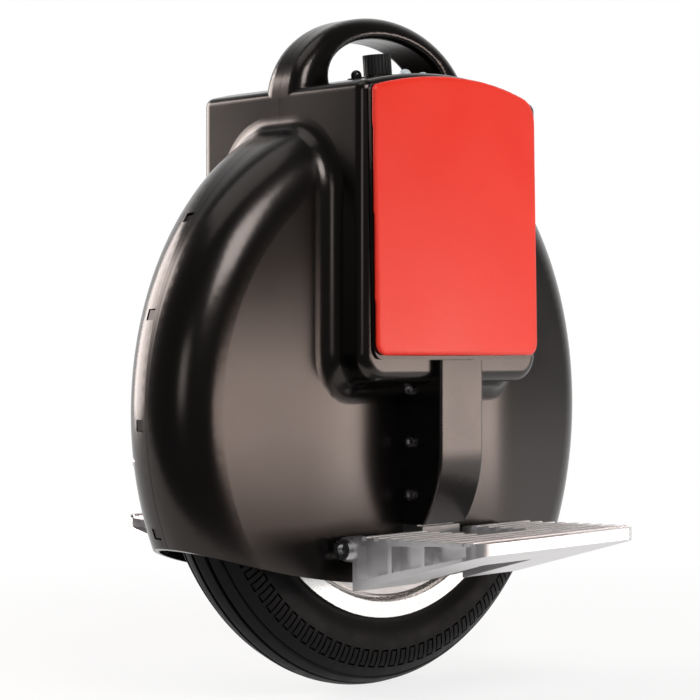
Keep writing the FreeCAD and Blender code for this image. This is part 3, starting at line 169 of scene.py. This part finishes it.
# motor covers: turned aluminium, duller than the rim
coverAluminium = workedMetal("coverAluminium", {
    "dark": "#a9a7a6", "light": "#bab8b7", "rough": 0.36, "roughSpread": 0.04,
    "lineMm": 1.5, "lay": (1, 1, 1), "cloudMm": 25, "bump": 0.03})
# fasteners, axle and bearings: zinc plate and ground steel, bright
boltSteel = workedMetal("boltSteel", {
    "dark": "#b5b5b6", "light": "#cdcdce", "rough": 0.24, "roughSpread": 0.06,
    "lineMm": 0.7, "lay": (1, 1, 1), "cloudMm": 6, "bump": 0.05})
# bushes, contacts and valve: turned bronze, warm and soft
bushBronze = workedMetal("bushBronze", {
    "dark": "#8a6a34", "light": "#a5813f", "rough": 0.35, "roughSpread": 0.06,
    "lineMm": 0.8, "lay": (1, 1, 1), "cloudMm": 8, "bump": 0.06})
# windings: enamelled copper wire, red-brown with the ridges of the turns
windingCopper = workedMetal("windingCopper", {
    "dark": "#8c3f1e", "light": "#b85c2e", "rough": 0.35, "roughSpread": 0.06,
    "lineMm": 0.8, "lay": (1, 1, 6), "cloudMm": 8, "bump": 0.3})
# stator: stacked iron sheets, dark with the lines of their edges
statorIron = workedMetal("statorIron", {
    "dark": "#3a3a3c", "light": "#4b4b4d", "rough": 0.5, "roughSpread": 0.06,
    "lineMm": 0.6, "lay": (0.1, 6, 0.1), "cloudMm": 12, "bump": 0.2})
# circuit boards: glass fibre under green lacquer, smooth
circuitBoard = mouldedPlastic("circuitBoard", {
    "dark": "#0f4a26", "light": "#17602f", "rough": 0.4, "roughSpread": 0.05,
    "ior": 1.5, "cloudMm": 6, "grainMm": 0.8, "bump": 0.1})
# cells: shrunk PVC sleeve, a clear blue
cellWrap = mouldedPlastic("cellWrap", {
    "dark": "#17559a", "light": "#1f66b0", "rough": 0.35, "roughSpread": 0.05,
    "ior": 1.5, "cloudMm": 12, "grainMm": 1.0, "bump": 0.05})
# battery case: wrapped film, dark blue and a little glossy
caseFilm = mouldedPlastic("caseFilm", {
    "dark": "#1a2f5c", "light": "#203a70", "rough": 0.3, "roughSpread": 0.05,
    "ior": 1.5, "cloudMm": 18, "grainMm": 1.2, "bump": 0.1})
# plug: moulded nylon in its own off-white
plugNylon = mouldedPlastic("plugNylon", {
    "dark": "#d8d5cc", "light": "#e6e3da", "rough": 0.45, "roughSpread": 0.05,
    "ior": 1.5, "cloudMm": 6, "grainMm": 0.6, "bump": 0.1})
# level lights: moulded acrylic domes, pale and glossy
lensAcrylic = mouldedPlastic("lensAcrylic", {
    "dark": "#c9d4da", "light": "#e4ecf0", "rough": 0.12, "roughSpread": 0.03,
    "ior": 1.49, "cloudMm": 4, "grainMm": 0.6, "bump": 0.02})

finishes = {
    shellAbs: ["left_shell", "right_shell"],
    trimAbs: ["left_pillar_cover", "right_pillar_cover", "left_pad_plate", "right_pad_plate",
              "charge_socket", "button_bezel", "button_switch", "power_transistors", "gyro_sensor",
              "capacitors"],
    capNylon: ["charge_cap", "valve_cap"],
    buttonAcrylic: ["power_button"],
    padFoam: ["left_leg_pad", "right_leg_pad"],
    tyreRubber: ["tyre", "inner_tube", "motor_cable", "battery_foams"],
    gripAluminium: ["left_pedal_grips", "right_pedal_grips"],
    pedalAluminium: ["left_pedal", "right_pedal"],
    hangerAluminium: ["left_hanger", "right_hanger", "controller_sink"],
    rimAluminium: ["rim"],
    coverAluminium: ["left_motor_cover", "right_motor_cover"],
    boltSteel: ["axle", "axle_nuts", "axle_washers", "bearing_balls", "bearing_inner_rings",
                "bearing_outer_rings", "controller_posts", "hanger_bolts", "left_hinge_pin",
                "right_hinge_pin", "left_pin_screws", "right_pin_screws", "magnets",
                "motor_cover_screws", "pillar_screws", "shell_screws"],
    bushBronze: ["hinge_bushes", "charge_contacts", "valve_stem"],
    windingCopper: ["stator_windings"],
    statorIron: ["stator_core"],
    circuitBoard: ["battery_board", "controller_board", "light_board"],
    cellWrap: ["battery_cells"],
    caseFilm: ["battery_case"],
    plugNylon: ["motor_plug"],
    lensAcrylic: ["level_lights"],
}
for finish, names in finishes.items():
    for name in names:
        nodes[name].data.materials.clear()
        nodes[name].data.materials.append(finish)
print("finishes set:", len(finishes))


def newPiece(name, bm, finish, body, replaced, smoothAngle):
    mesh = bpy.data.meshes.new(name)
    bm.to_mesh(mesh)
    bm.free()
    made = bpy.data.objects.new(name, mesh)
    bpy.context.scene.collection.objects.link(made)
    mesh.materials.append(finish)
    mesh.shade_smooth()
    mesh.set_sharp_from_angle(angle=math.radians(smoothAngle))
    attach(made, body)
    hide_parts(replaced)
    return made


heading = math.radians(46.99)  # where the camera looks, from +Y round towards +X
ahead = Vector((math.sin(heading), math.cos(heading), 0))
aside = Vector((math.cos(heading), -math.sin(heading), 0))

# stage in metres: a pale floor that ends out of the camera's sight, white surroundings behind the object
stageLook = {"floorBack": 6.0, "floorFront": 0.3, "floorHalf": 5.0, "floorColour": "#f4f3f2",
             "shadowShare": 0.2, "shadowReach": 0.3, "fadeReach": 0.8,
             "backdrop": 1.0, "room": 0.1, "sweepStart": 0.35, "sweepEnd": 0.8}


def makeFloor():
    bm = bmesh.new()
    bmesh.ops.create_grid(bm, x_segments=1, y_segments=1, size=1)
    halfDepth = (stageLook["floorBack"] + stageLook["floorFront"]) / 2
    bmesh.ops.scale(bm, vec=(stageLook["floorHalf"], halfDepth, 1), verts=bm.verts[:])
    bmesh.ops.translate(bm, vec=(0, stageLook["floorBack"] - halfDepth, 0), verts=bm.verts[:])
    bmesh.ops.rotate(bm, cent=(0, 0, 0), matrix=Matrix.Rotation(-heading, 3, "Z"), verts=bm.verts[:])
    mesh = bpy.data.meshes.new("floor")
    bm.to_mesh(mesh)
    bm.free()
    floor = bpy.data.objects.new("floor", mesh)
    bpy.context.scene.collection.objects.link(floor)
    made, tree = newMaterial("paleFloor")
    seen = addNode(tree, "ShaderNodeLightPath")
    camOrGloss = addNode(tree, "ShaderNodeMath", {"operation": "MAXIMUM"},
                         {0: seen.outputs["Is Camera Ray"], 1: seen.outputs["Is Glossy Ray"]})
    anyLook = addNode(tree, "ShaderNodeMath", {"operation": "MAXIMUM"},
                      {0: camOrGloss.outputs[0], 1: seen.outputs["Is Transmission Ray"]})
    place = addNode(tree, "ShaderNodeTexCoord")
    reach = addNode(tree, "ShaderNodeVectorMath", {"operation": "LENGTH"}, {0: place.outputs["Object"]})
    # the shadow shows near the object and fades out further off
    fade = addNode(tree, "ShaderNodeMapRange", {
        "From Min": stageLook["shadowReach"], "From Max": stageLook["fadeReach"],
        "To Min": 1 - stageLook["shadowShare"], "To Max": 1.0}, {"Value": reach.outputs["Value"]})
    share = addNode(tree, "ShaderNodeMath", {"operation": "MULTIPLY"},
                    {0: anyLook.outputs[0], 1: fade.outputs[0]})
    matt = addNode(tree, "ShaderNodeBsdfDiffuse", {"Color": linear(stageLook["floorColour"])})
    glow = addNode(tree, "ShaderNodeEmission", {"Color": (1, 1, 1, 1), "Strength": 1.0})
    mix = addNode(tree, "ShaderNodeMixShader", {},
                  {0: share.outputs[0], 1: matt.outputs[0], 2: glow.outputs[0]})
    closeMaterial(tree, mix)
    mesh.materials.append(made)


def makeWorld():
    world = bpy.data.worlds.new("studio")
    world.use_nodes = True
    bpy.context.scene.world = world
    tree = world.node_tree
    tree.nodes.clear()
    place = addNode(tree, "ShaderNodeTexCoord")
    facing = addNode(tree, "ShaderNodeVectorMath", {"operation": "DOT_PRODUCT", 1: ahead},
                     {0: place.outputs["Generated"]})
    sweep = addNode(tree, "ShaderNodeMapRange", {
        "From Min": stageLook["sweepStart"], "From Max": stageLook["sweepEnd"],
        "To Min": stageLook["room"], "To Max": stageLook["backdrop"]}, {"Value": facing.outputs["Value"]})
    seen = addNode(tree, "ShaderNodeLightPath")
    level = addNode(tree, "ShaderNodeMix", {"data_type": "FLOAT", 3: stageLook["backdrop"]},
                    {0: seen.outputs["Is Camera Ray"], 2: sweep.outputs[0]})
    shade = addNode(tree, "ShaderNodeBackground", {"Color": (1, 1, 1, 1)}, {"Strength": level.outputs[0]})
    addNode(tree, "ShaderNodeOutputWorld", {}, {"Surface": shade.outputs[0]})


makeFloor()
makeWorld()

# lamps: name, place and target in metres, size in metres, watts, colour
lamps = [
    ("keyBox", (-0.9, -2.2, 2.0), (0, 0, 0.25), (1.2, 1.2), 46, "#ffffff"),
    ("backBox", (-0.86, 2.24, 0.92), (0, 0, 0.3), (1.56, 1.8), 75, "#fff6f2"),
    ("sideBox", (0.46, -1.11, 0.145), (-0.34, -0.36, 0.145), (1.3, 0.17), 5.2, "#fff1e9"),
    ("topBox", (-0.6, 0.3, 2.6), (0, 0, 0.2), (1.6, 1.6), 8, "#ffffff"),
    ("fillBox", (-2.2, -1.2, 0.6), (0, 0, 0.2), (0.5, 0.7), 3, "#ffffff"),
]
for name, place, target, size, watts, colour in lamps:
    lamp = bpy.data.lights.new(name, "AREA")
    lamp.shape = "RECTANGLE"
    lamp.size, lamp.size_y = size
    lamp.energy = watts
    lamp.color = linear(colour)[:3]
    made = bpy.data.objects.new(name, lamp)
    made.location = place
    made.rotation_euler = (Vector(target) - Vector(place)).to_track_quat("-Z", "Y").to_euler()
    bpy.context.scene.collection.objects.link(made)

# camera: level, fitted to the photograph, in metres with lens and sensor in millimetres
cameraLook = {"distance": 1.3, "side": 0.0141, "height": 0.2176, "lens": 102.1, "sensor": 36.0}


def makeCamera():
    data = bpy.data.cameras.new("photoCamera")
    data.lens = cameraLook["lens"]
    data.sensor_width = cameraLook["sensor"]
    made = bpy.data.objects.new("photoCamera", data)
    eye = Vector((0, 0, cameraLook["height"]))
    made.location = eye - ahead * cameraLook["distance"] - aside * cameraLook["side"]
    made.rotation_euler = (math.pi / 2, 0, -heading)
    bpy.context.scene.collection.objects.link(made)
    bpy.context.scene.camera = made


makeCamera()
bpy.context.scene.view_settings.view_transform = "Standard"
print("stage, lamps and camera set")

# tyre in millimetres: road tread with rain grooves and a row of looped grooves on each shoulder
tyreLook = {"axle": 180.0, "crown": 180.0, "half": 24.0, "flank": 135.3,
            "beadFoot": 126.8, "beadOuter": 18.2, "beadInner": 12.2,
            "casing": 172.5, "casingHalf": 19.2, "casingDrop": 5.0, "shoulderShare": 0.7, "wallShare": 0.3,
            "grooveHalf": 0.8, "grooveDeep": 3.0, "blocks": 110, "steps": 6,
            "loopIn": 155.5, "loopOut": 166.0, "loopShare": 0.16, "loopSideShare": 0.6,
            "loopWide": 1.3, "loopWall": 0.25, "loopDeep": 1.8, "merge": 0.02, "smoothAngle": 35}
# distance from the middle and height above the flank, as shares of half width and section height
treadShares = [(0.05, 1.0), (0.17, 0.991), (0.31, 0.968), (0.335, 0.963), (0.35, 0.89), (0.42, 0.877),
               (0.435, 0.946), (0.52, 0.92), (0.62, 0.878), (0.635, 0.82), (0.69, 0.795), (0.705, 0.832),
               (0.76, 0.795), (0.88, 0.71), (0.955, 0.61), (0.99, 0.51), (1.0, 0.45), (0.985, 0.36),
               (0.955, 0.27), (0.9, 0.18), (0.82, 0.1), (0.758, 0.0)]


def tyreLine():
    look = tyreLook
    rise = look["crown"] - look["flank"]
    left = [(look["grooveHalf"], look["crown"] - look["grooveDeep"])]
    left += [(look["half"] * w, look["flank"] + rise * h) for w, h in treadShares]
    left += [(look["beadOuter"], look["beadFoot"]), (look["beadInner"], look["beadFoot"])]
    left += [(look["casingHalf"], look["flank"] + rise * look["wallShare"])]
    left += [(look["casingHalf"] * look["shoulderShare"], look["casing"] - look["casingDrop"])]
    right = [(-y, r) for y, r in reversed(left)]
    return left + [(0, look["casing"])] + right


def makeTyre():
    look = tyreLook
    bm = bmesh.new()
    ring = [bm.verts.new((0, y * mm, (look["axle"] + r) * mm)) for y, r in tyreLine()]
    edges = [bm.edges.new((ring[i - 1], ring[i])) for i in range(len(ring))]
    pitch = 2 * math.pi / look["blocks"]
    centre = (0, 0, look["axle"] * mm)
    bmesh.ops.spin(bm, geom=ring + edges, cent=centre, axis=(0, 1, 0), dvec=(0, 0, 0), angle=pitch,
                   steps=look["steps"], use_merge=False, use_normal_flip=False, use_duplicate=False)
    bmesh.ops.recalc_face_normals(bm, faces=bm.faces[:])
    # one looped groove per pitch on each shoulder
    for side in (1, -1):
        block = []
        for face in bm.faces:
            spot = face.calc_center_median()
            turn = math.atan2(spot.x, spot.z - centre[2])
            reach = math.hypot(spot.x, spot.z - centre[2]) / mm
            onBlock = look["loopShare"] < turn / pitch < 1 - look["loopShare"]
            onShoulder = side * spot.y / mm > look["half"] * look["loopSideShare"]
            if onBlock and onShoulder and look["loopIn"] < reach < look["loopOut"]:
                block.append(face)
        loop = bmesh.ops.inset_region(bm, faces=block, thickness=look["loopWide"] * mm, depth=0)["faces"]
        bmesh.ops.inset_region(bm, faces=loop, thickness=look["loopWall"] * mm,
                               depth=-look["loopDeep"] * mm)
    bmesh.ops.spin(bm, geom=bm.verts[:] + bm.edges[:] + bm.faces[:], cent=centre, axis=(0, 1, 0),
                   dvec=(0, 0, 0), angle=2 * math.pi - pitch, steps=look["blocks"] - 1, use_merge=False,
                   use_normal_flip=False, use_duplicate=True)
    bmesh.ops.remove_doubles(bm, verts=bm.verts[:], dist=look["merge"] * mm)
    bmesh.ops.recalc_face_normals(bm, faces=bm.faces[:])
    newPiece("treadTyre", bm, tyreRubber, "wheel", "tyre", look["smoothAngle"])


makeTyre()
print("tyre made")

# leg pads: the solid's form, remeshed and eased so that every edge is soft
padLook = {"mergeMm": 0.01, "voxelMm": 1.1, "ease": 4, "easeShare": 0.5, "fill": 0.8, "smoothAngle": 180}


def makePads():
    for side in ("left", "right"):
        solid = side + "_leg_pad"
        bm = bmesh.new()
        bm.from_mesh(nodes[solid].data)
        bmesh.ops.remove_doubles(bm, verts=bm.verts[:], dist=padLook["mergeMm"] * mm)
        made = newPiece(side + "LegPad", bm, padFoam, "chassis", solid, padLook["smoothAngle"])
        remesh = made.modifiers.new("soften", "REMESH")
        remesh.mode = "VOXEL"
        remesh.voxel_size = padLook["voxelMm"] * mm
        deps = bpy.context.evaluated_depsgraph_get()
        baked = bpy.data.meshes.new_from_object(made.evaluated_get(deps))
        made.modifiers.clear()
        made.data = baked
        bm = bmesh.new()
        bm.from_mesh(baked)
        for i in range(padLook["ease"]):
            bmesh.ops.smooth_vert(bm, verts=bm.verts[:], factor=padLook["easeShare"], use_axis_x=True,
                                  use_axis_y=True, use_axis_z=True)
        bm.to_mesh(baked)
        bm.free()
        baked.materials.clear()
        baked.materials.append(padFoam)
        baked.shade_smooth()


makePads()
print("leg pads made")

# cast pedals: the solid's faces with the small radii of a casting on every edge
pedalLook = {"mergeMm": 0.005, "flatAngle": 1.0, "edgeMm": 1.0, "segments": 3, "edgeAngle": 35,
             "smoothAngle": 30}


def makePedals():
    for side in ("left", "right"):
        solid = side + "_pedal"
        bm = bmesh.new()
        bm.from_mesh(nodes[solid].data)
        bmesh.ops.remove_doubles(bm, verts=bm.verts[:], dist=pedalLook["mergeMm"] * mm)
        bmesh.ops.dissolve_limit(bm, angle_limit=math.radians(pedalLook["flatAngle"]), verts=bm.verts[:],
                                 edges=bm.edges[:])
        made = newPiece(side + "Pedal", bm, pedalAluminium, side + "_pedal_arm", solid,
                        pedalLook["smoothAngle"])
        bevel = made.modifiers.new("castEdges", "BEVEL")
        bevel.width = pedalLook["edgeMm"] * mm
        bevel.segments = pedalLook["segments"]
        bevel.limit_method = "ANGLE"
        bevel.angle_limit = math.radians(pedalLook["edgeAngle"])
        bevel.harden_normals = True


makePedals()
print("pedals made")
